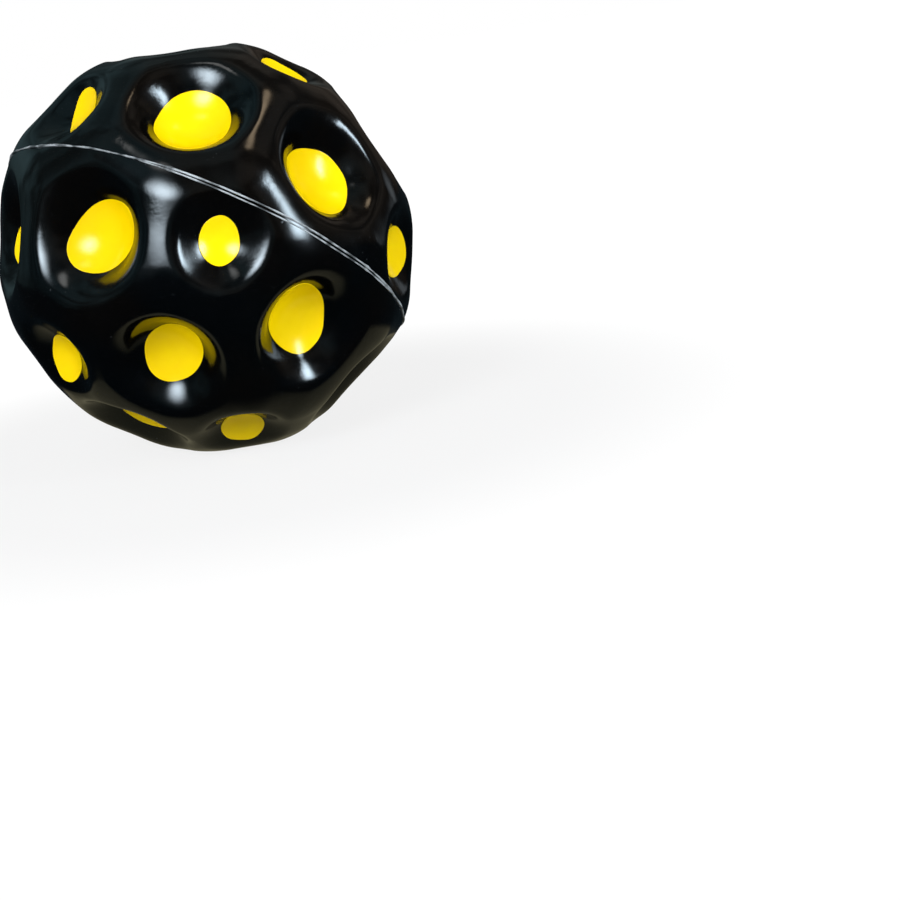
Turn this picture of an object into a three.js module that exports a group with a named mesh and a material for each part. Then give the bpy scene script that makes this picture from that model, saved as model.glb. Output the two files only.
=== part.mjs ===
// A moulded foam moon ball: a foam core in two half skins, a raised parting line,
// and 32 craters whose floors carry a dot of yellow paint.
// Millimetres and degrees. The origin is the ball's centre, and +Z is up with the ball at rest.

import * as THREE from "three";
import { ConvexHull } from "three/addons/math/ConvexHull.js";

// Driving dimensions of the ball
const ball_diameter = 70; // across opposite junctions of the ridges
const skin_thickness = 2.2; // dense skin over the foam core
const edge_radius = 2.7; // rounding of the ridges between two faces and of the craters' mouths

// Driving dimensions of the craters: each is a round bowl sunk in a flat face of the ball
const large_face_drop = 2.3; // below the sphere of the ball's diameter
const large_crater_depth = 5.5; // below the face
const large_bowl_radius = 9;
const small_face_drop = 1.1;
const small_crater_depth = 2.8;
const small_bowl_radius = 7.2;

// Where the craters of each half lie: latitude is the angle from the parting plane
const latitude_small_at_seam = 12.8;
const latitude_large_at_seam = 21.9;
const spread_large_at_seam = 37.3; // azimuth from the small crater between a pair of large ones
const latitude_large_above = 51.3;
const latitude_small_above = 57.9;
const turn_between_halves = 60; // the small craters of one half lie between those of the other

// Driving dimensions of the paint
const large_spot_diameter = 11.5;
const small_spot_diameter = 7.3;
const paint_thickness = 0.12;

// Driving dimensions of the parting line, the thin fin where the mould halves met
const flash_height = 0.35;
const flash_root_width = 0.55;
const flash_tip_width = 0.2;

// Clearances between pieces that touch on the real ball
const seam_gap = 0.03; // between the two half skins
const core_gap = 0.05; // between the core and the skin round it
const paint_gap = 0.02; // between a paint spot and the floor under it
const flash_gap = 0.08; // between the fin and the skins it stands on

// How the ball lies: on the rim of this large crater of the lower half, then turned about +Z
const rest_crater_azimuth = 120;
const rest_spin = -84.8;

// How finely the surfaces are cut into facets: steps along a ridge, spokes round the middle of a spot,
// rings up a wall as shares of the way from the spot's edge to the ridge, and a last ring by the ridge
const seam_steps = 96;
const outer_mesh = {
  ridge_steps: 4,
  spot_spokes: 8,
  wall_rings: [0.24, 0.54],
  last_ring: 1.9, // degrees short of the ridge
  seam_rows: [2.2, -2.2], // latitudes of the rows beside the parting circle
};
const inner_mesh = { ridge_steps: 2, spot_spokes: 0, wall_rings: [], last_ring: 0, seam_rows: [] };
const least_angle = 1.1; // between two points of a surface, seen from the centre
const neighbour_angle = 50; // craters share a ridge only within this angle of each other
const ridge_reach = 0.5; // beyond the end of every ridge, measured along it on the unit sphere
const halvings = 24; // steps of a search between two values
const sharpest_edge = 0.2; // radius left to an edge of the foam where the skin is thicker than the rounding

const ball_radius = ball_diameter / 2;
const { degToRad, radToDeg, lerp } = THREE.MathUtils;

const finishes = {
  skin: new THREE.MeshStandardMaterial({ color: 0x0b0c0d, roughness: 0.16, metalness: 0 }),
  core: new THREE.MeshStandardMaterial({ color: 0x17181a, roughness: 0.9, metalness: 0 }),
  flash: new THREE.MeshStandardMaterial({ color: 0x6d7276, roughness: 0.35, metalness: 0 }),
  spot: new THREE.MeshStandardMaterial({ color: 0xffe600, roughness: 0.22, metalness: 0 }),
};

// The unit vector at a latitude and azimuth of the mould
function direction(latitude, azimuth) {
  const lat = degToRad(latitude);
  const az = degToRad(azimuth);
  return new THREE.Vector3(Math.cos(lat) * Math.cos(az), Math.cos(lat) * Math.sin(az), Math.sin(lat));
}

// A crater: its face and bowl, and the angle at which the edge of its paint lies from its axis
function crater(name, axis, face_drop, depth, bowl, spot_diameter) {
  const face = ball_radius - face_drop;
  const centre = face - depth + bowl;
  const spot = spot_diameter / 2;
  return {
    name,
    axis,
    face,
    bowl,
    centre: axis.clone().multiplyScalar(centre),
    spot_angle: Math.atan2(spot, centre - Math.sqrt(bowl ** 2 - spot ** 2)),
  };
}

const large = (name, axis) =>
  crater(name, axis, large_face_drop, large_crater_depth, large_bowl_radius, large_spot_diameter);
const small = (name, axis) =>
  crater(name, axis, small_face_drop, small_crater_depth, small_bowl_radius, small_spot_diameter);

// One half's sixteen craters: a large one at the pole, and five round it in each third
function cratersOf(half, side, first_azimuth) {
  const list = [large(`${half}_large_pole`, direction(90 * side, 0))];
  for (let third = 0; third < 3; third++) {
    const az = first_azimuth + third * 120;
    const id = third + 1;
    list.push(
      small(`${half}_small_seam_${id}`, direction(side * latitude_small_at_seam, az)),
      large(`${half}_large_seam_${id}a`, direction(side * latitude_large_at_seam, az - spread_large_at_seam)),
      large(`${half}_large_seam_${id}b`, direction(side * latitude_large_at_seam, az + spread_large_at_seam)),
      large(`${half}_large_ring_${id}`, direction(side * latitude_large_above, az)),
      small(`${half}_small_ring_${id}`, direction(side * latitude_small_above, az + 60)),
    );
  }
  return list;
}

const craters = [...cratersOf("upper", 1, turn_between_halves), ...cratersOf("lower", -1, 0)];

// The last value between two at which a test still holds, where it holds at the first
function lastWhere(test, first, last) {
  for (let i = 0; i < halvings; i++) {
    const middle = (first + last) / 2;
    if (test(middle)) first = middle;
    else last = middle;
  }
  return first;
}

// The crater whose face a ray from the centre meets first
const nearness = (c, v) => c.axis.dot(v) / c.face;
const ownerOf = (v) => craters.reduce((best, c) => (nearness(c, v) > nearness(best, v) ? c : best));

// How far a point lies outside the moulded surface, or the one this deep under it. The ball is cut off
// by every face and hollowed by every bowl, and where two or more of these come near each other the
// edge between them is rounded. Zero is the surface, and less is inside.
const point = new THREE.Vector3();
function outside(v, radius, depth) {
  const rounding = Math.max(edge_radius - depth, sharpest_edge);
  point.copy(v).multiplyScalar(radius);
  let sum = 0;
  for (const c of craters) {
    const over_face = point.dot(c.axis) - c.face + depth;
    const into_bowl = c.bowl - point.distanceTo(c.centre) + depth;
    sum += Math.max(over_face + rounding, 0) ** 2 + Math.max(into_bowl + rounding, 0) ** 2;
  }
  return Math.sqrt(sum) - rounding;
}

// The radius at which the surface, or the one this deep under it, meets a ray from the centre
const radiusAt = (v, depth = 0) => lastWhere((radius) => outside(v, radius, depth) < 0, 0, ball_diameter);

// Directions along the ridge between two craters, evenly from one junction with a third to the other
function ridgeBetween(a, b, steps) {
  const sideways = a.axis.clone().cross(b.axis).normalize();
  const across = (share, offset) =>
    a.axis.clone().lerp(b.axis, share).normalize().addScaledVector(sideways, offset).normalize();
  const onRidge = (offset) => {
    const inA = (share) => nearness(a, across(share, offset)) > nearness(b, across(share, offset));
    return across(lastWhere(inA, 0, 1), offset);
  };
  const owned = (offset) => [a, b].includes(ownerOf(onRidge(offset)));
  if (!owned(0)) return [];
  const start = lastWhere(owned, 0, -ridge_reach);
  const end = lastWhere(owned, 0, ridge_reach);
  return Array.from({ length: steps + 1 }, (_, i) => onRidge(lerp(start, end, i / steps)));
}

// A direction at an angle from a crater's axis, towards another direction
function towards(axis, v, angle) {
  const across = v.clone().projectOnPlane(axis).normalize();
  return axis.clone().multiplyScalar(Math.cos(angle)).addScaledVector(across, Math.sin(angle));
}

// The points of a surface, as directions from the centre, with none too near another
class Sampling {
  points = [];
  spots = new Map(); // each crater's paint: its first point, its count, and how many are its edge
  rims = new Map(craters.map((c) => [c, []])); // the ridge points round each crater

  isApart(v, others) {
    return others.every((other) => other.dot(v) < Math.cos(degToRad(least_angle)));
  }

  // Adds a point that keeps clear of the others, and of the parting circle by half its step
  addIfClear(v) {
    if (Math.abs(v.z) > Math.sin(Math.PI / seam_steps) && this.isApart(v, this.points)) this.points.push(v);
  }

  addSeam(rows) {
    for (let i = 0; i < seam_steps; i++) this.points.push(direction(0, (360 * i) / seam_steps));
    for (const latitude of rows) {
      for (let i = 0; i < seam_steps; i++) {
        this.points.push(direction(latitude, (360 * (i + 0.5)) / seam_steps));
      }
    }
  }

  addRidge(a, b, steps) {
    if (a.axis.angleTo(b.axis) > degToRad(neighbour_angle)) return;
    for (const v of ridgeBetween(a, b, steps)) {
      for (const rim of [this.rims.get(a), this.rims.get(b)]) if (this.isApart(v, rim)) rim.push(v);
      this.addIfClear(v);
    }
  }

  // The spot in full, and rings up the wall on the spokes that run to the ridges
  addCrater(c, mesh) {
    const rim = this.rims.get(c);
    const first = this.points.length;
    this.points.push(c.axis.clone());
    for (let i = 0; i < mesh.spot_spokes; i++) {
      const spoke = rim[Math.floor((i * rim.length) / mesh.spot_spokes)];
      this.points.push(towards(c.axis, spoke, c.spot_angle / 2));
    }
    for (const spoke of rim) this.points.push(towards(c.axis, spoke, c.spot_angle));
    this.spots.set(c, { first, count: this.points.length - first, edge: rim.length });
    for (const spoke of rim) {
      const ridge = c.axis.angleTo(spoke);
      const angles = mesh.wall_rings.map((share) => lerp(c.spot_angle, ridge, share));
      if (mesh.last_ring) angles.push(ridge - degToRad(mesh.last_ring));
      for (const angle of angles) this.addIfClear(towards(c.axis, spoke, angle));
    }
  }
}

function sample(mesh) {
  const sampling = new Sampling();
  sampling.addSeam(mesh.seam_rows);
  craters.forEach((a, i) => craters.slice(i + 1).forEach((b) => sampling.addRidge(a, b, mesh.ridge_steps)));
  for (const c of craters) sampling.addCrater(c, mesh);
  return sampling;
}

// The triangles that join directions on the unit sphere, facing out
function trianglesOf(points) {
  const index = new Map(points.map((p, i) => [p, i]));
  const hull = new ConvexHull().setFromPoints(points);
  return hull.faces.map((face) => {
    const corners = [];
    let edge = face.edge;
    do {
      corners.push(index.get(edge.head().point));
      edge = edge.next;
    } while (edge !== face.edge);
    return corners;
  });
}

const sideOf = (points, triangle) => Math.sign(triangle.reduce((sum, i) => sum + points[i].z, 0));

// A closed surface that grows vertex by vertex and triangle by triangle
class Surface {
  positions = [];
  triangles = [];

  vertex(v) {
    this.positions.push(v.x, v.y, v.z);
    return this.positions.length / 3 - 1;
  }

  quad(a, b, c, d) {
    this.triangles.push([a, b, c], [a, c, d]);
  }

  geometry() {
    const g = new THREE.BufferGeometry();
    g.setAttribute("position", new THREE.Float32BufferAttribute(this.positions, 3));
    g.setIndex(this.triangles.flat());
    g.computeVertexNormals();
    return g;
  }
}

const reversed = (triangle) => [...triangle].reverse();

const { points: outer_directions, spots } = sample(outer_mesh);
const outer_triangles = trianglesOf(outer_directions);
const outer_radii = outer_directions.map((v) => radiusAt(v));
const { points: inner_directions } = sample(inner_mesh);
const inner_triangles = trianglesOf(inner_directions);
const inner_radii = inner_directions.map((v) => radiusAt(v, skin_thickness));

// Half of the skin: the moulded outside, the inside against the foam, and the rim at the parting plane
function halfSkin(side) {
  const skin = new Surface();
  const place = (directions, radii) =>
    directions.map((v, i) => {
      const corner = v.clone().multiplyScalar(radii[i]);
      if (i < seam_steps) corner.z = (side * seam_gap) / 2;
      return skin.vertex(corner);
    });
  const outer = place(outer_directions, outer_radii);
  const inner = place(inner_directions, inner_radii);
  for (const t of outer_triangles) {
    if (sideOf(outer_directions, t) === side) skin.triangles.push(t.map((i) => outer[i]));
  }
  for (const t of inner_triangles) {
    if (sideOf(inner_directions, t) === side) skin.triangles.push(reversed(t.map((i) => inner[i])));
  }
  for (let i = 0; i < seam_steps; i++) {
    const next = (i + 1) % seam_steps;
    const rim = [outer[i], inner[i], inner[next], outer[next]];
    skin.quad(...(side > 0 ? rim : reversed(rim)));
  }
  return skin.geometry();
}

// The foam inside both skins
function foamCore() {
  const core = new Surface();
  inner_directions.forEach((v, i) => core.vertex(v.clone().multiplyScalar(inner_radii[i] - core_gap)));
  core.triangles = inner_triangles;
  return core.geometry();
}

// The fin along the parting line, whose foot follows the skins on both sides of the seam
function partingFin() {
  const fin = new Surface();
  const rings = [];
  for (let i = 0; i < seam_steps; i++) {
    const azimuth = (360 * i) / seam_steps;
    const out = direction(0, azimuth);
    const corner = (radius, z) => fin.vertex(out.clone().multiplyScalar(radius).setZ(z));
    const seam = outer_radii[i];
    const foot_latitude = radToDeg(flash_root_width / 2 / seam);
    const foot = (side) => radiusAt(direction(side * foot_latitude, azimuth)) + flash_gap;
    rings.push([
      corner(seam + flash_gap, 0),
      corner(foot(-1), -flash_root_width / 2),
      corner(seam + flash_height, -flash_tip_width / 2),
      corner(seam + flash_height, flash_tip_width / 2),
      corner(foot(1), flash_root_width / 2),
    ]);
  }
  rings.forEach((ring, i) => {
    const next = rings[(i + 1) % seam_steps];
    ring.forEach((a, j) => {
      const k = (j + 1) % ring.length;
      fin.quad(a, next[j], next[k], ring[k]);
    });
  });
  return fin.geometry();
}

// A dot of paint: the crater's floor up to the spot's edge, raised by the film's thickness
function paintSpot(c) {
  const spot = new Surface();
  const { first, count, edge } = spots.get(c);
  const inSpot = (i) => i >= first && i < first + count;
  const place = (lift) => {
    const start = spot.positions.length / 3;
    for (let i = first; i < first + count; i++) {
      spot.vertex(outer_directions[i].clone().multiplyScalar(outer_radii[i] + lift));
    }
    return start - first;
  };
  const under = place(paint_gap);
  const over = place(paint_gap + paint_thickness);
  for (const t of outer_triangles.filter((corners) => corners.every(inSpot))) {
    spot.triangles.push(t.map((i) => i + over), reversed(t.map((i) => i + under)));
  }
  // the rim's directions came ridge by ridge, so they are put in order round the axis
  const start = outer_directions[first + count - edge];
  const turnOf = (i) => {
    const v = outer_directions[i];
    const along = start.clone().projectOnPlane(c.axis);
    return Math.atan2(c.axis.clone().cross(along).dot(v), along.dot(v));
  };
  const rim = Array.from({ length: edge }, (_, i) => first + count - edge + i);
  rim.sort((i, j) => turnOf(i) - turnOf(j));
  rim.forEach((a, i) => {
    const b = rim[(i + 1) % edge];
    spot.quad(a + under, b + under, b + over, a + over);
  });
  return spot.geometry();
}

// Everything is built in the mould's frame, then laid on the rim of its resting crater
const mould = new THREE.Group();
const rest = direction(-latitude_large_above, rest_crater_azimuth);
mould.quaternion.setFromUnitVectors(rest, new THREE.Vector3(0, 0, -1));
mould.rotateOnWorldAxis(new THREE.Vector3(0, 0, 1), degToRad(rest_spin));

function add(name, geometry, material) {
  const mesh = new THREE.Mesh(geometry, material);
  mesh.name = name;
  mould.add(mesh);
}

add("foam_core", foamCore(), finishes.core);
add("skin_upper", halfSkin(1), finishes.skin);
add("skin_lower", halfSkin(-1), finishes.skin);
add("parting_line_flash", partingFin(), finishes.flash);
for (const c of craters) add(`paint_${c.name}`, paintSpot(c), finishes.spot);

const moon_ball = new THREE.Group();
moon_ball.name = "moon_ball";
moon_ball.add(mould);

export default moon_ball;
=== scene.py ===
import math

import bpy
import numpy as np
from mathutils import Matrix, Quaternion, Vector


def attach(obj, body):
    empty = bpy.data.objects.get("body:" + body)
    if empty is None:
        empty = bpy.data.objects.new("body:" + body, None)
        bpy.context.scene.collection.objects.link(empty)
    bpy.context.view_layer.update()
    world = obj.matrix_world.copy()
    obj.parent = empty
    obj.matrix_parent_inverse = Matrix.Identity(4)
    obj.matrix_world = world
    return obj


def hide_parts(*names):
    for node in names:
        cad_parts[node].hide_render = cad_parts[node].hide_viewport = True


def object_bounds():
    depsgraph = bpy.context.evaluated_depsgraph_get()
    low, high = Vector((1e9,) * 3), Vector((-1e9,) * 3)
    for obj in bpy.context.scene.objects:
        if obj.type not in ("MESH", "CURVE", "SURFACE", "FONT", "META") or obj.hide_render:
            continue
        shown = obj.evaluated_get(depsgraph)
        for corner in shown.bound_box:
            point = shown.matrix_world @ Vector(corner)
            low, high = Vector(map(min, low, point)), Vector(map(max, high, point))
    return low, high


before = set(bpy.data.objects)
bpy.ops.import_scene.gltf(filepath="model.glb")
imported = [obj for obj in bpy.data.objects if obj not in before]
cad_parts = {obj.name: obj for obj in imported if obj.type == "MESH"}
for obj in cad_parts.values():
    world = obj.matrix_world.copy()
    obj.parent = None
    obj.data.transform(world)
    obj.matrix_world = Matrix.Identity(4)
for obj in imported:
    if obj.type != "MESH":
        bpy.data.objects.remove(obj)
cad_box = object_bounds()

# A moulded foam moon ball on a pale floor. The values of this first part are millimetres and
# degrees, in the frame of the mould: +Z is the axis of the two mould halves, and the parting
# plane is z = 0. The finished pieces are turned to the ball's resting pose and put in metres.
MM = 0.001

BALL_RADIUS = 35.0
SKIN_THICKNESS = 2.2
ROUNDING = 2.7  # radius of the mouths of the craters and of the ridges between the faces

LARGE_FACE_DROP = 2.3  # of a large crater's flat face below the ball's radius
LARGE_DEPTH = 5.5  # of its floor below the face
LARGE_BOWL_RADIUS = 9.0
LARGE_DOT_RADIUS = 5.75
SMALL_FACE_DROP = 1.1
SMALL_DEPTH = 3.05
SMALL_BOWL_RADIUS = 6.7
SMALL_DOT_RADIUS = 3.65

SMALL_AT_SEAM = 12.8  # latitudes of the craters
LARGE_AT_SEAM = 21.9
LARGE_ABOVE = 51.3
SMALL_ABOVE = 57.9
SPREAD_AT_SEAM = 37.3  # azimuth between a small crater at the seam and the large ones beside it

REST_AZIMUTH = 120.0  # the ball stands on the rim of this large crater of the lower half
REST_SPIN = -84.8

RIPPLE_HEIGHT = 0.035  # usual height of the soft waves that a foam skin keeps after moulding
RIPPLE_LENGTH = 9.0
RIPPLE_CREST = 3.4  # usual heights that the skin is lowered by, so that its waves hardly stand proud

PAINT_THICKNESS = 0.10
PAINT_LIFT = 0.03  # gap between the film and the skin under it
PAINT_EDGE = 0.04  # rounding of the film's edge

FLASH_HEIGHT = 0.32
FLASH_WIDTH = 0.32
FLASH_SEAT = 0.28  # how far its middle stands off the skin, as a share of its height
FLASH_DRIFT = 0.05  # how far it wanders to the side
NUBS = ((300.0, 0.9), (342.0, 0.9), (40.5, 0.8))  # azimuth and spread of each little blob of flash
DOUBLE_FROM = 333.0  # azimuth from which the mould halves didn't quite meet, and the thread is double
DOUBLE_SPAN = 84.0
DOUBLE_GAP = 0.62  # between the two threads' middles
DOUBLE_BEND = 0.4  # the lower this is, the sooner they are at their full gap
SECOND_HEIGHT = 0.85  # of the second thread, as a share of the first one's
SECOND_WIDTH = 0.8  # the same

# How finely the pieces are cut
SKIN_FINENESS = 8  # subdivisions of an icosphere
WALL_FINENESS = 5
CUT_REACH = 0.04  # corners this near the parting plane are taken as lying on it
THREAD_STEPS = 900  # round the ball
THREAD_SIDES = 10  # round the thread
DOT_CORNERS = 88
DOT_INSETS = (0.012, 0.03, 0.08, 0.15, 0.15, 0.15, 0.15, 0.12)  # its rings, as shares of the radius
SETTLING_STEPS = 8  # in which a dot's corners come to lie on the floor
SHARP_ANGLE = 50.0  # edges that turn more than this are sharp

# The camera, in the frame of the resting ball
CAMERA_TOWARDS = Vector((0.0, -0.99309, 0.11740))  # from the ball's centre
CAMERA_UP = Vector((0.1733, 0.1156, 0.9781))
CAMERA_AWAY = 9.0  # in ball radii


def direction(latitude, azimuth):
    """The unit vector at a latitude and azimuth of the mould."""
    lat = math.radians(latitude)
    az = math.radians(azimuth)
    return np.array((math.cos(lat) * math.cos(az), math.cos(lat) * math.sin(az), math.sin(lat)))


class Crater:
    """A flat face of the ball with a round bowl sunk in it, and the dot on the bowl's floor."""

    def __init__(self, name, axis, drop, depth, bowl, dot):
        self.name = name
        self.axis = axis
        self.face = BALL_RADIUS - drop
        self.bowl = bowl
        self.floor = self.face - depth
        self.centre = self.floor + bowl
        self.dot = dot


def large(name, axis):
    return Crater(name, axis, LARGE_FACE_DROP, LARGE_DEPTH, LARGE_BOWL_RADIUS, LARGE_DOT_RADIUS)


def small(name, axis):
    return Crater(name, axis, SMALL_FACE_DROP, SMALL_DEPTH, SMALL_BOWL_RADIUS, SMALL_DOT_RADIUS)


def craters_of(half, side, first_azimuth):
    """One mould half's sixteen craters: a large one at the pole and five in each third."""
    made = [large(f"{half}_large_pole", direction(90 * side, 0))]
    for third in range(3):
        az = first_azimuth + 120 * third
        spot = third + 1
        made += [
            small(f"{half}_small_seam_{spot}", direction(side * SMALL_AT_SEAM, az)),
            large(f"{half}_large_seam_{spot}a", direction(side * LARGE_AT_SEAM, az - SPREAD_AT_SEAM)),
            large(f"{half}_large_seam_{spot}b", direction(side * LARGE_AT_SEAM, az + SPREAD_AT_SEAM)),
            large(f"{half}_large_ring_{spot}", direction(side * LARGE_ABOVE, az)),
            small(f"{half}_small_ring_{spot}", direction(side * SMALL_ABOVE, az + 60)),
        ]
    return made


craters = craters_of("upper", 1, 60) + craters_of("lower", -1, 0)


def resting_turn():
    """The turn from the mould's frame to the ball lying on the floor."""
    onto_rim = Vector(direction(-LARGE_ABOVE, REST_AZIMUTH)).rotation_difference(Vector((0, 0, -1)))
    spin = Quaternion((0, 0, 1), math.radians(REST_SPIN))
    return (spin @ onto_rim).to_matrix().to_4x4()


to_rest = resting_turn()


class Ripple:
    """Soft waves over the ball, a sum of a few swells that run in different directions."""

    SWELLS = 14
    SPREAD = (0.7, 1.6)  # lengths of the swells, as shares of the ripple's length

    def __init__(self, length, seed):
        rng = np.random.default_rng(seed)
        ways = unit(rng.normal(size=(self.SWELLS, 3)))
        lengths = length * rng.uniform(*self.SPREAD, self.SWELLS)
        self.waves = ways * (2 * math.pi / lengths)[:, None]
        self.phases = rng.uniform(0, 2 * math.pi, self.SWELLS)
        self.scale = math.sqrt(2 / self.SWELLS)

    def __call__(self, directions):
        """How high the waves stand along each direction, in usual heights."""
        return self.scale * np.sin(directions @ self.waves.T * BALL_RADIUS + self.phases).sum(1)


def unit(v):
    return v / np.linalg.norm(v, axis=1)[:, None]


skin_ripple = Ripple(RIPPLE_LENGTH, seed=4)

SEARCH_FROM = 0.6  # of the ball's radius: the surface is found by halving between these two
SEARCH_TO = 1.05
HALVINGS = 20


def moulded_radius(directions, depth=0.0):
    """The radius of the moulded surface, or of the one this deep under it, along each direction.
    The foam lies behind every face and outside every bowl, and where it is near two or more of
    these surfaces the edge between them is rounded."""
    low = np.full(len(directions), BALL_RADIUS * SEARCH_FROM)
    high = np.full(len(directions), BALL_RADIUS * SEARCH_TO)
    axes = np.array([c.axis for c in craters])
    faces = np.array([c.face for c in craters])[:, None]
    bowls = np.array([c.bowl for c in craters])[:, None]
    centres = np.array([c.centre for c in craters])[:, None]
    along = axes @ directions.T
    for _ in range(HALVINGS):
        middle = (low + high) / 2
        apart = np.sqrt(middle**2 - 2 * middle * centres * along + centres**2)
        short = (np.clip(ROUNDING + middle * along - faces, 0, None) ** 2).sum(0)
        short += (np.clip(ROUNDING + bowls - apart, 0, None) ** 2).sum(0)
        inside = ROUNDING - np.sqrt(short) > depth
        low = np.where(inside, middle, low)
        high = np.where(inside, high, middle)
    return low + RIPPLE_HEIGHT * (skin_ripple(directions) - RIPPLE_CREST)


# Tools for making a piece by hand

def only(obj):
    """Selects one object alone and makes it the one that is worked on."""
    bpy.ops.object.select_all(action="DESELECT")
    obj.select_set(True)
    bpy.context.view_layer.objects.active = obj


def new_piece(name):
    """Names the object that was just added."""
    obj = bpy.context.object
    obj.name = name
    obj.data.name = name
    return obj


def corners(obj):
    """The mesh's vertices as an array, in metres."""
    co = np.empty(len(obj.data.vertices) * 3)
    obj.data.vertices.foreach_get("co", co)
    return co.reshape(-1, 3)


def move_corners(obj, co):
    obj.data.vertices.foreach_set("co", np.ascontiguousarray(co).ravel())
    obj.data.update()


def apply_modifier(obj, kind, **settings):
    only(obj)
    modifier = obj.modifiers.new(kind.title(), kind)
    for key, value in settings.items():
        setattr(modifier, key, value)
    bpy.ops.object.modifier_apply(modifier=modifier.name)


def select_faces(obj, chosen):
    """In edit mode, selects just the faces that the array marks."""
    bpy.ops.object.mode_set(mode="OBJECT")
    mesh = obj.data
    mesh.vertices.foreach_set("select", np.zeros(len(mesh.vertices), bool))
    mesh.edges.foreach_set("select", np.zeros(len(mesh.edges), bool))
    mesh.polygons.foreach_set("select", chosen)
    bpy.ops.object.mode_set(mode="EDIT")
    bpy.ops.mesh.select_mode(type="FACE")


def rim_corners(obj):
    """Indices of the vertices on the open edge of a shell."""
    counts = {}
    for face in obj.data.polygons:
        for key in face.edge_keys:
            counts[key] = counts.get(key, 0) + 1
    return sorted({i for key, n in counts.items() if n == 1 for i in key})


# The two half skins

def half_ball(name, side, fineness):
    """Half an icosphere, open at the parting plane, with its rim exactly on it."""
    bpy.ops.object.select_all(action="DESELECT")
    bpy.ops.mesh.primitive_ico_sphere_add(subdivisions=fineness, radius=BALL_RADIUS * MM)
    shell = new_piece(name)
    bpy.ops.object.mode_set(mode="EDIT")
    bpy.ops.mesh.select_all(action="SELECT")
    bpy.ops.mesh.bisect(
        plane_co=(0, 0, 0),
        plane_no=(0, 0, 1),
        clear_inner=side > 0,
        clear_outer=side < 0,
        threshold=CUT_REACH * MM,
    )
    bpy.ops.object.mode_set(mode="OBJECT")
    co = corners(shell)
    co[rim_corners(shell), 2] = 0
    move_corners(shell, co)
    return shell


def press_into_mould(shell, depth=0.0):
    """Moves every corner in or out to the moulded surface, along its line from the centre."""
    ways = unit(corners(shell))
    move_corners(shell, ways * (moulded_radius(ways, depth) * MM)[:, None])


def half_skin(name, side):
    """One mould half's share of the skin: the cratered outside, the inner wall and the rim."""
    outer = half_ball(name, side, fineness=SKIN_FINENESS)
    press_into_mould(outer)

    inner = half_ball(name + "_wall", side, fineness=WALL_FINENESS)
    press_into_mould(inner, SKIN_THICKNESS)
    bpy.ops.object.mode_set(mode="EDIT")
    bpy.ops.mesh.select_all(action="SELECT")
    bpy.ops.mesh.flip_normals()
    bpy.ops.object.mode_set(mode="OBJECT")

    only(outer)
    inner.select_set(True)
    bpy.ops.object.join()
    bpy.ops.object.mode_set(mode="EDIT")
    bpy.ops.mesh.select_mode(type="EDGE")
    bpy.ops.mesh.select_all(action="DESELECT")
    bpy.ops.mesh.select_non_manifold(
        extend=False,
        use_wire=False,
        use_boundary=True,
        use_multi_face=False,
        use_non_contiguous=False,
        use_verts=False,
    )
    bpy.ops.mesh.bridge_edge_loops()
    bpy.ops.mesh.select_all(action="SELECT")
    bpy.ops.mesh.quads_convert_to_tris()
    bpy.ops.object.mode_set(mode="OBJECT")
    return outer


# The flash along the parting line

def seam_directions(turn):
    return np.stack([np.cos(turn), np.sin(turn), np.zeros(len(turn))], 1)


def seam_thread(name, height, width, z_shift, arc=None):
    """A thin raised thread along the parting line: a torus drawn in to the seam, whose height and
    width wander. With an arc, only the span from one azimuth on is kept and its ends are closed."""
    bpy.ops.object.select_all(action="DESELECT")
    bpy.ops.mesh.primitive_torus_add(
        major_segments=THREAD_STEPS,
        minor_segments=THREAD_SIDES,
        major_radius=BALL_RADIUS * MM,
        minor_radius=MM,
    )
    thread = new_piece(name)
    co = corners(thread) / MM
    around = np.arctan2(co[:, 1], co[:, 0])
    azimuths = np.degrees(around) % 360
    outward = np.hypot(co[:, 0], co[:, 1]) - BALL_RADIUS  # from -1 to 1, as sideways is
    sideways = co[:, 2]
    seam = seam_directions(around)
    radius = moulded_radius(seam) + height(azimuths) * (0.5 * outward + FLASH_SEAT)
    place = seam * radius[:, None]
    place[:, 2] = z_shift(azimuths) + sideways * width(azimuths) / 2
    move_corners(thread, place * MM)
    if arc:
        start, span = arc
        outside_arc = (azimuths - start) % 360 > span
        faces = np.array([any(outside_arc[i] for i in f.vertices) for f in thread.data.polygons])
        select_faces(thread, faces)
        bpy.ops.mesh.delete(type="FACE")
        bpy.ops.mesh.select_mode(type="EDGE")
        bpy.ops.mesh.select_all(action="DESELECT")
        bpy.ops.mesh.select_non_manifold(extend=False)
        bpy.ops.mesh.fill_holes(sides=2 * THREAD_SIDES)
        bpy.ops.object.mode_set(mode="OBJECT")
    return thread


def bump_at(azimuths, centre, spread):
    """1 at an azimuth, falling off on both sides of it."""
    off = (azimuths - centre + 180) % 360 - 180
    return np.exp(-((off / spread) ** 2))


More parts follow.
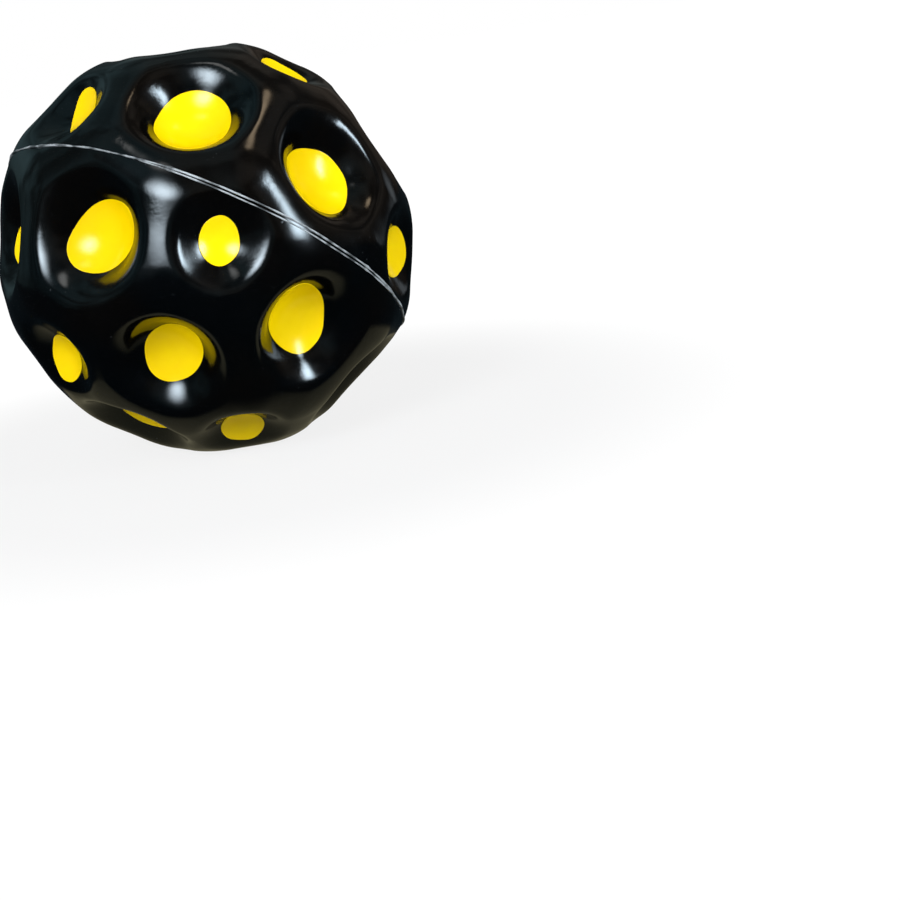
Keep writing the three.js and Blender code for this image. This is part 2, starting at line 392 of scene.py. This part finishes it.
def parting_flash():
    """The thread of flash round the ball, with a second one beside it where it is double."""
    wander = Ripple(length=6.0, seed=21)
    slow = Ripple(length=26.0, seed=22)

    def varied(azimuths, middle, fine, broad, at_nubs):
        """A share that varies along the seam, and grows at the nubs."""
        ways = seam_directions(np.radians(azimuths))
        nubs = sum(bump_at(azimuths, at, spread) for at, spread in NUBS)
        return middle + fine * wander(ways) + broad * slow(ways) + at_nubs * nubs

    def height(azimuths):
        return FLASH_HEIGHT * varied(azimuths, middle=0.8, fine=0.13, broad=0.13, at_nubs=0.35)

    def width(azimuths):
        return FLASH_WIDTH * varied(azimuths, middle=0.85, fine=0.14, broad=0.12, at_nubs=1.1)

    def drift(azimuths):
        return FLASH_DRIFT * slow(seam_directions(np.radians(azimuths)))

    def beside(azimuths):
        """The second thread parts from the first quickly, and runs beside it at an even distance."""
        share = np.clip((azimuths - DOUBLE_FROM) % 360 / DOUBLE_SPAN, 0, 1)
        return drift(azimuths) - DOUBLE_GAP * np.sin(share * math.pi) ** DOUBLE_BEND

    thread = seam_thread("parting_flash", height, width, drift)
    second = seam_thread(
        "second_thread",
        lambda azimuths: SECOND_HEIGHT * height(azimuths),
        lambda azimuths: SECOND_WIDTH * width(azimuths),
        beside,
        (DOUBLE_FROM, DOUBLE_SPAN),
    )
    only(thread)
    second.select_set(True)
    bpy.ops.object.join()
    return thread


# The painted dots. Each is laid on by hand, so each outline differs a little. It is given as seen
# from the front of the resting ball: millimetres right and up of the crater's middle, half its
# length and half its width, the angle of its long way from the right towards up, and a seed.
SEEN_UP = (Matrix(to_rest).to_3x3().inverted() @ CAMERA_UP).normalized()


class Outline:
    """A rounded outline of a dot: an ellipse with a slightly uneven edge."""

    WAVES = 6  # round the edge
    UNEVENNESS = 0.022  # height of the first wave, as a share of the reach

    def __init__(self, right, up, half_length, half_width, turn, seed):
        self.right = right
        self.up = up
        self.half_length = half_length
        self.half_width = half_width
        self.turn = math.radians(turn)
        rng = np.random.default_rng(seed + 100)
        self.sway = rng.uniform(0, 2 * math.pi, self.WAVES)

    def place(self, angle, share):
        """Where a corner of the dot lies on the floor, right and up of the crater's middle."""
        waves = range(self.WAVES)
        uneven = sum(self.UNEVENNESS / (n + 1) * np.cos((n + 2) * angle + self.sway[n]) for n in waves)
        reach = share * (1 + uneven)
        long_way = reach * np.cos(angle) * self.half_length
        short_way = reach * np.sin(angle) * self.half_width
        right = long_way * math.cos(self.turn) - short_way * math.sin(self.turn)
        up = long_way * math.sin(self.turn) + short_way * math.cos(self.turn)
        return right + self.right, up + self.up


OUTLINES = {
    "upper_large_seam_3b": Outline(0.2, -0.8, 6.9, 5.9, 84, 1),
    "upper_large_seam_1a": Outline(-1.1, -1.2, 7.0, 5.9, 29, 2),
    "lower_large_seam_1a": Outline(0.4, 0.2, 6.9, 5.0, 35, 3),
    "lower_large_seam_1b": Outline(-0.6, 0.7, 6.7, 5.1, 122, 4),
    "lower_large_ring_1": Outline(0.4, 0.0, 5.9, 4.4, 59, 5),
    "lower_small_seam_1": Outline(0.0, 0.3, 3.65, 3.1, 87, 6),
    "upper_small_seam_3": Outline(0.2, 1.4, 4.4, 2.7, 108, 7),
    "upper_small_ring_3": Outline(1.4, 0.8, 2.9, 4.1, 20, 8),
    "upper_small_seam_1": Outline(1.2, 0.2, 4.2, 4.2, 80, 9),
    "lower_small_ring_3": Outline(-0.9, -1.0, 4.2, 3.2, 60, 10),
    "lower_small_ring_1": Outline(1.0, -1.3, 3.4, 3.9, 0, 11),
    "lower_large_seam_3b": Outline(-2.3, -0.6, 4.4, 4.6, 80, 12),
    "lower_large_pole": Outline(-0.6, -1.3, 5.4, 5.2, 10, 13),
    "lower_large_seam_2a": Outline(2.0, 2.2, 4.6, 4.4, 60, 14),
}

OFF_MIDDLE = 0.35  # how far right or up one of the other dots may lie
LEAST_DOT = (1.0, 0.88)  # its half length and half width, as shares of the usual radius
MOST_DOT = (1.1, 0.98)


def usual_outline(crater, number):
    """The outline of a dot that isn't given above."""
    rng = np.random.default_rng(number + 300)
    right, up = rng.uniform(-OFF_MIDDLE, OFF_MIDDLE, 2)
    length, width = crater.dot * rng.uniform(LEAST_DOT, MOST_DOT)
    return Outline(right, up, length, width, rng.uniform(0, 180), number)


def laid_on_floor(crater, right, up):
    """The direction and radius of the floor at places beside the crater's axis."""
    axis = Vector(crater.axis)
    seen_up = (SEEN_UP - axis * SEEN_UP.dot(axis)).normalized()
    seen_right = seen_up.cross(axis)
    aside = np.outer(right, seen_right) + np.outer(up, seen_up)
    height = np.full(len(aside), crater.floor)
    for _ in range(SETTLING_STEPS):
        ways = unit(height[:, None] * crater.axis + aside)
        radius = moulded_radius(ways)
        height = radius * (ways @ crater.axis)
    return ways, radius


def paint_dot(crater, number):
    """A film of paint on a crater's floor: a disc in rings, laid on the floor, thickened and rounded."""
    bpy.ops.object.select_all(action="DESELECT")
    bpy.ops.mesh.primitive_circle_add(vertices=DOT_CORNERS, radius=1.0, fill_type="NGON")
    dot = new_piece(f"paint_dot_{crater.name}")
    bpy.ops.object.mode_set(mode="EDIT")
    bpy.ops.mesh.select_mode(type="FACE")
    bpy.ops.mesh.select_all(action="SELECT")
    for step in DOT_INSETS:
        bpy.ops.mesh.inset(thickness=step, use_even_offset=True)
    bpy.ops.mesh.poke()
    bpy.ops.object.mode_set(mode="OBJECT")

    co = corners(dot)
    angle = np.arctan2(co[:, 1], co[:, 0])
    share = np.hypot(co[:, 0], co[:, 1])
    outline = OUTLINES.get(crater.name) or usual_outline(crater, number)
    ways, radius = laid_on_floor(crater, *outline.place(angle, share))
    move_corners(dot, ways * ((radius + PAINT_LIFT + PAINT_THICKNESS) * MM)[:, None])
    apply_modifier(dot, "SOLIDIFY", thickness=PAINT_THICKNESS * MM, offset=-1, use_even_offset=True)
    apply_modifier(
        dot,
        "BEVEL",
        width=PAINT_EDGE * MM,
        segments=2,
        limit_method="ANGLE",
        angle_limit=math.radians(SHARP_ANGLE),
    )
    return dot


# Finishes

class Signal:
    """A number that changes over a surface. Sums on it are written as plain Python."""

    def __init__(self, finish, socket):
        self.finish = finish
        self.socket = socket

    def _with(self, operation, first, second):
        worked = self.finish.node("ShaderNodeMath", {"operation": operation}, {0: first, 1: second})
        return worked.out("Value")

    def __add__(self, other):
        return self._with("ADD", self, other)

    def __radd__(self, other):
        return self._with("ADD", other, self)

    def __rsub__(self, other):
        return self._with("SUBTRACT", other, self)

    def __mul__(self, other):
        return self._with("MULTIPLY", self, other)

    def between(self, low, high):
        """0 up to low, 1 from high on, and smooth between them."""
        return self.finish.node(
            "ShaderNodeMapRange",
            {"interpolation_type": "SMOOTHSTEP"},
            {"Value": self, "From Min": low, "From Max": high},
        ).out("Result")


class Made:
    """A node that a finish has made, whose outputs are asked for by name."""

    def __init__(self, finish, bare):
        self.finish = finish
        self.bare = bare

    def out(self, name):
        live = [s for s in self.bare.outputs if s.name == name and s.enabled]
        return Signal(self.finish, live[0])


class Finish:
    """A material, a light's glow or the world, as a tree of nodes that is built up by name."""

    ENDS = {bpy.types.World: "ShaderNodeOutputWorld", bpy.types.Material: "ShaderNodeOutputMaterial"}

    def __init__(self, owner):
        owner.use_nodes = True
        self.owner = owner
        self.tree = owner.node_tree
        self.tree.nodes.clear()

    def node(self, kind, settings=None, values=None):
        """Adds one node: its settings first, then a value or a link for each named socket."""
        bare = self.tree.nodes.new(kind)
        for key, value in (settings or {}).items():
            setattr(bare, key, value)
        for key, value in (values or {}).items():
            socket = bare.inputs[key] if isinstance(key, int) else self._named(bare, key)
            if isinstance(value, Signal):
                self.tree.links.new(value.socket, socket)
            else:
                socket.default_value = value
        return Made(self, bare)

    @staticmethod
    def _named(bare, key):
        return [s for s in bare.inputs if s.name == key and s.enabled][0]

    def place(self):
        return self.node("ShaderNodeTexCoord").out("Object")

    def noise(self, size, detail):
        """Soft noise whose lumps are about this many millimetres across, around 0.5."""
        return self.node(
            "ShaderNodeTexNoise",
            {"noise_dimensions": "3D"},
            {"Vector": self.place(), "Scale": 1 / (size * MM), "Detail": detail},
        ).out("Fac")

    def mix(self, share, first, second):
        """A colour between two colours."""
        return self.node(
            "ShaderNodeMix", {"data_type": "RGBA"}, {"Factor": share, "A": first, "B": second}
        ).out("Result")

    def bump(self, height, strength, distance, under=None):
        """The normal over a relief, whose full height is the distance in millimetres."""
        values = {"Strength": strength, "Distance": distance * MM, "Height": height}
        if under:
            values["Normal"] = under
        return self.node("ShaderNodeBump", None, values).out("Normal")

    def glow(self, colour, strength):
        values = {"Color": colour, "Strength": strength}
        return self.node("ShaderNodeEmission", None, values).out("Emission")

    def background(self, colour, strength):
        values = {"Color": colour, "Strength": strength}
        return self.node("ShaderNodeBackground", None, values).out("Background")

    def blend(self, share, first, second):
        """The first shader where the share is 0, and the second where it is 1."""
        return self.node("ShaderNodeMixShader", None, {0: share, 1: first, 2: second}).out("Shader")

    def surface(self, **values):
        named = {key.replace("_", " ").title(): value for key, value in values.items()}
        named["IOR"] = named.pop("Ior")
        self.end(self.node("ShaderNodeBsdfPrincipled", None, named).out("BSDF"))

    def end(self, shader):
        kind = self.ENDS.get(type(self.owner), "ShaderNodeOutputLight")
        self.node(kind, None, {"Surface": shader})


def moulded_skin():
    """Glossy near-black foam skin: low waves, patches of softer gloss and a few rubbed specks."""
    cool_black = (0.0006, 0.0009, 0.0012, 1)
    warm_black = (0.0014, 0.0010, 0.0008, 1)
    rubbed_grey = (0.05, 0.055, 0.06, 1)
    cool_sheen = (0.84, 0.94, 1.0, 1)
    f = Finish(bpy.data.materials.new("glossy_moulded_skin"))
    broad = f.noise(14, detail=2)
    patches = f.noise(5, detail=3)
    specks = f.noise(0.55, detail=2).between(0.70, 0.78) * f.noise(9, detail=2).between(0.45, 0.7)
    folds = f.noise(1.5, detail=2) * f.noise(7, detail=1).between(0.4, 0.7)
    black = f.mix(broad.between(0.35, 0.65), cool_black, warm_black)
    waves = f.bump(f.noise(4.2, detail=1), strength=0.35, distance=0.12)
    wrinkles = f.bump(folds, strength=0.45, distance=0.10, under=waves)
    f.surface(
        base_color=f.mix(specks * 0.35, black, rubbed_grey),
        roughness=0.11 + patches.between(0.35, 0.7) * 0.07 + specks * 0.25,
        ior=1.52,
        specular_tint=cool_sheen,
        normal=f.bump(f.noise(0.7, detail=3), strength=0.12, distance=0.03, under=wrinkles),
    )
    return f.owner


def yellow_paint():
    """Bright yellow gloss paint, a little uneven in thickness, so a little uneven in gloss."""
    deep_yellow = (0.97, 0.65, 0.0003, 1)
    light_yellow = (0.99, 0.68, 0.0003, 1)
    f = Finish(bpy.data.materials.new("yellow_gloss_paint"))
    cloud = f.noise(4, detail=2)
    peel = f.noise(0.8, detail=2)
    hollows = f.bump(cloud, strength=0.2, distance=0.1)
    f.surface(
        base_color=f.mix(cloud.between(0.3, 0.7), deep_yellow, light_yellow),
        roughness=0.15 + cloud * 0.06 + peel * 0.03,
        ior=1.38,
        normal=f.bump(peel, strength=0.12, distance=0.05, under=hollows),
    )
    return f.owner


def scuffed_flash():
    """The thin fin of foam skin, dark grey and in patches rubbed pale."""
    dark_grey = (0.05, 0.058, 0.062, 1)
    pale_grey = (0.40, 0.43, 0.45, 1)
    f = Finish(bpy.data.materials.new("scuffed_flash"))
    rub = f.noise(2.2, detail=3)
    fine = f.noise(0.35, detail=2)
    f.surface(
        base_color=f.mix(rub.between(0.35, 0.62), dark_grey, pale_grey),
        roughness=0.28 + fine * 0.2,
        ior=1.5,
        normal=f.bump(fine, strength=0.3, distance=0.03),
    )
    return f.owner


def cellular_foam():
    """Matt foam of the core, with small cells between paler walls; the darker hollows are painted shade.
    """
    cell_size = 0.6
    wall_grey = (0.05, 0.05, 0.052, 1)
    painted_shade_grey = (0.018, 0.018, 0.019, 1)
    f = Finish(bpy.data.materials.new("cellular_foam"))
    cells = f.node(
        "ShaderNodeTexVoronoi",
        {"feature": "DISTANCE_TO_EDGE"},
        {"Vector": f.place(), "Scale": 1 / (cell_size * MM)},
    ).out("Distance")
    shaded_hollow = cells.between(0.02, 0.14)
    f.surface(
        # painted shade: the cells' hollows are coloured darker than their walls
        base_color=f.mix(shaded_hollow, wall_grey, painted_shade_grey),
        roughness=0.8 + f.noise(2, detail=2) * 0.15,
        ior=1.45,
        normal=f.bump(1 - shaded_hollow, strength=0.5, distance=0.1),
    )
    return f.owner


# The studio, in metres

WHITE = (1, 1, 1, 1)
BLACK = (0, 0, 0, 1)
MATT_GREY = (0.45, 0.45, 0.45, 1)
REFLECTION_SHEET_GLOW = (1.0, 0.92, 0.60, 1)  # of a glowing sheet under the ball, seen only in the gloss: a painted reflection of a lit floor
REFLECTION_BEYOND_GLOW = (0.5, 0.8, 1.0, 1)  # of the dim glow of the floor beyond that sheet, seen only in the gloss: a painted reflection
COOL_SIDE = (0.55, 0.92, 1.0, 1)  # of the room, in the gloss
WARM_SIDE = (1.0, 0.80, 0.64, 1)

FLOOR_SIZE = 4.0
FLOOR_WHITE = 0.80  # share of plain white in the floor under the ball; the rest takes its shadow
SHADOW_EDGE = (0.05, 0.11)  # distances from the floor's middle over which the shadow fades out
REFLECTION_GLOW_EDGE = (0.044, 0.050)  # and over which the glowing sheet of painted reflection ends
REFLECTION_GLOW_FRONT = (-0.029, -0.022)  # where the sheet ends towards the camera

SOFT_LIGHT = 0.26  # brightness of the even light from all round
PANEL_AWAY = 0.6  # from the ball's centre
PANEL_EDGE = 0.5  # from its middle, in the panel's own coordinates


def pale_floor(height):
    """White to the eye with a light shadow under the ball. Its gloss shows a painted reflection: a
    glowing sheet near the ball and a dim glow beyond it.
    """
    bpy.ops.object.select_all(action="DESELECT")
    bpy.ops.mesh.primitive_plane_add(size=FLOOR_SIZE, location=(0, 0, height))
    floor = new_piece("pale_floor")
    f = Finish(bpy.data.materials.new("pale_floor"))
    rays = f.node("ShaderNodeLightPath")
    far = f.node("ShaderNodeVectorMath", {"operation": "LENGTH"}, {0: f.place()}).out("Value")
    depth = f.node("ShaderNodeSeparateXYZ", None, {"Vector": f.place()}).out("Y")
    matt = f.node("ShaderNodeBsdfDiffuse", None, {"Color": MATT_GREY}).out("BSDF")
    white = FLOOR_WHITE + far.between(*SHADOW_EDGE) * (1 - FLOOR_WHITE)
    seen = f.blend(white, matt, f.glow(WHITE, strength=1.05))
    # Painted reflection: a glowing sheet near the ball and a dim glow beyond it stand in for the lit
    # floor, and only glossy rays see them
    on_reflection_glow = (1 - far.between(*REFLECTION_GLOW_EDGE)) * depth.between(*REFLECTION_GLOW_FRONT)
    reflection_glow = f.glow(REFLECTION_SHEET_GLOW, strength=0.20)
    mirrored = f.blend(on_reflection_glow, f.glow(REFLECTION_BEYOND_GLOW, strength=0.02), reflection_glow)
    unseen = f.blend(rays.out("Is Glossy Ray"), matt, mirrored)
    f.end(f.blend(rays.out("Is Camera Ray"), unseen, seen))
    floor.data.materials.append(f.owner)


def studio_world():
    """White behind the ball, and a soft even light on it. Its gloss mirrors a dim room: cool to the
    left and warm to the right, a little brighter to the left and above, and dark where the black
    cloths hang."""
    world = bpy.data.worlds.new("studio")
    bpy.context.scene.world = world
    f = Finish(world)
    way = f.node("ShaderNodeTexCoord").out("Generated")
    parts = f.node("ShaderNodeSeparateXYZ", None, {"Vector": way})
    across = parts.out("X")
    up = parts.out("Z")
    cloths = f.node("ShaderNodeTexNoise", None, {"Vector": way, "Scale": 3.4, "Detail": 3.0}).out("Fac")
    glow = up.between(-0.05, 0.4) * 0.16 + (0 - across).between(0.0, 1.0) * 0.04
    light = (glow + 0.04) * (0.25 + cloths.between(0.36, 0.64) * 0.75)
    tint = f.mix(across.between(-0.3, 0.5), COOL_SIDE, WARM_SIDE)
    rays = f.node("ShaderNodeLightPath")
    room = f.background(tint, light)
    lit = f.blend(rays.out("Is Diffuse Ray"), room, f.background(WHITE, SOFT_LIGHT))
    f.end(f.blend(rays.out("Is Camera Ray"), lit, f.background(WHITE, strength=1.0)))


def softbox(name, azimuth, elevation, width, height, roll, brightness, colour, fade):
    """A soft round panel that faces the ball. Azimuth 0 is the front, more is to the right; width
    and height are the angles that it fills as seen from the ball, and brightness is its own. Its
    glow fades out over the outer part of it."""
    az = math.radians(azimuth)
    el = math.radians(elevation)
    back = Vector((math.sin(az) * math.cos(el), -math.cos(az) * math.cos(el), math.sin(el)))
    bpy.ops.object.light_add(type="AREA", location=back * PANEL_AWAY)
    panel = bpy.context.object
    panel.name = name
    panel.rotation_mode = "QUATERNION"
    panel.rotation_quaternion = back.to_track_quat("Z", "Y") @ Quaternion((0, 0, 1), math.radians(roll))
    panel.visible_camera = False
    light = panel.data
    light.shape = "ELLIPSE"
    light.size = 2 * PANEL_AWAY * math.tan(math.radians(width / 2))
    light.size_y = 2 * PANEL_AWAY * math.tan(math.radians(height / 2))
    light.energy = brightness * math.pi * light.size * light.size_y
    light.color = colour
    f = Finish(light)
    off_middle = f.node(
        "ShaderNodeVectorMath",
        {"operation": "DISTANCE"},
        {0: f.node("ShaderNodeTexCoord").out("UV"), 1: (PANEL_EDGE, PANEL_EDGE, 0.0)},
    ).out("Value")
    faded = f.mix(off_middle.between(PANEL_EDGE - fade, PANEL_EDGE), WHITE, BLACK)
    f.end(f.glow(faded, strength=1.0))


def studio_lights():
    """Two large soft panels at the front left and the right, and three smaller, dimmer ones."""
    softbox(
        "left_key", azimuth=-27, elevation=28, width=44, height=39, roll=14,
        brightness=17, colour=(0.90, 0.95, 1.0), fade=0.47,
    )
    softbox(
        "right_key", azimuth=53, elevation=13, width=19, height=44, roll=-12,
        brightness=22, colour=(0.84, 0.93, 1.0), fade=0.42,
    )
    softbox(
        "ceiling_lamp", azimuth=-26, elevation=64, width=26, height=16, roll=0,
        brightness=2.2, colour=(1.0, 0.92, 0.85), fade=0.3,
    )
    softbox(
        "side_lamp", azimuth=122, elevation=4, width=22, height=26, roll=0,
        brightness=0.4, colour=(0.84, 0.93, 1.0), fade=0.4,
    )
    softbox(
        "warm_lamp", azimuth=84, elevation=64, width=18, height=10, roll=0,
        brightness=3.5, colour=(1.0, 0.70, 0.44), fade=0.3,
    )


def studio_camera():
    """The photograph's viewing angle: low, in front, a little rolled, with the ball up and left."""
    picture = 900.0  # pixels on a side
    ball_across = 206.9  # where the ball's middle is in it, from the left
    ball_down = 248.4  # and from the top
    radius_pixels = 207.04  # of the ball
    sensor = 36.0  # millimetres
    focal = radius_pixels * CAMERA_AWAY
    right = CAMERA_UP.cross(CAMERA_TOWARDS).normalized()
    up = CAMERA_TOWARDS.cross(right)
    straight = Matrix((right, up, CAMERA_TOWARDS)).transposed()
    aside = Vector(((ball_across - picture / 2) / focal, -(ball_down - picture / 2) / focal, -1.0))
    off_axis = Vector((0, 0, -1)).rotation_difference(aside.normalized()).to_matrix()
    place = CAMERA_TOWARDS * (CAMERA_AWAY * BALL_RADIUS * MM)
    bpy.ops.object.camera_add(location=place)
    camera = bpy.context.object
    camera.name = "studio_camera"
    camera.matrix_world = Matrix.Translation(place) @ (straight @ off_axis.transposed()).to_4x4()
    camera.data.sensor_width = sensor
    camera.data.lens = sensor * focal / picture
    camera.data.clip_start = 0.01
    bpy.context.scene.camera = camera


# Making the ball

def finish_piece(piece, node, material):
    """Turns a piece from the mould's frame to its place, gives it its finish and hides the CAD part that
    it stands for.
    """
    piece.data.transform(to_rest)
    piece.data.materials.clear()
    piece.data.materials.append(material)
    only(piece)
    bpy.ops.object.shade_smooth_by_angle(angle=math.radians(SHARP_ANGLE))
    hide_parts(node)
    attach(piece, "root")


def make_ball():
    skin = moulded_skin()
    paint = yellow_paint()
    finish_piece(half_skin("moulded_skin_upper", 1), "skin_upper", skin)
    finish_piece(half_skin("moulded_skin_lower", -1), "skin_lower", skin)
    finish_piece(parting_flash(), "parting_line_flash", scuffed_flash())
    for number, crater in enumerate(craters):
        finish_piece(paint_dot(crater, number), f"paint_{crater.name}", paint)
    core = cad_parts["foam_core"]
    core.data.materials.clear()
    core.data.materials.append(cellular_foam())


bpy.context.scene.view_settings.view_transform = "Standard"
studio_camera()
studio_world()
studio_lights()
pale_floor(cad_box[0].z)
make_ball()
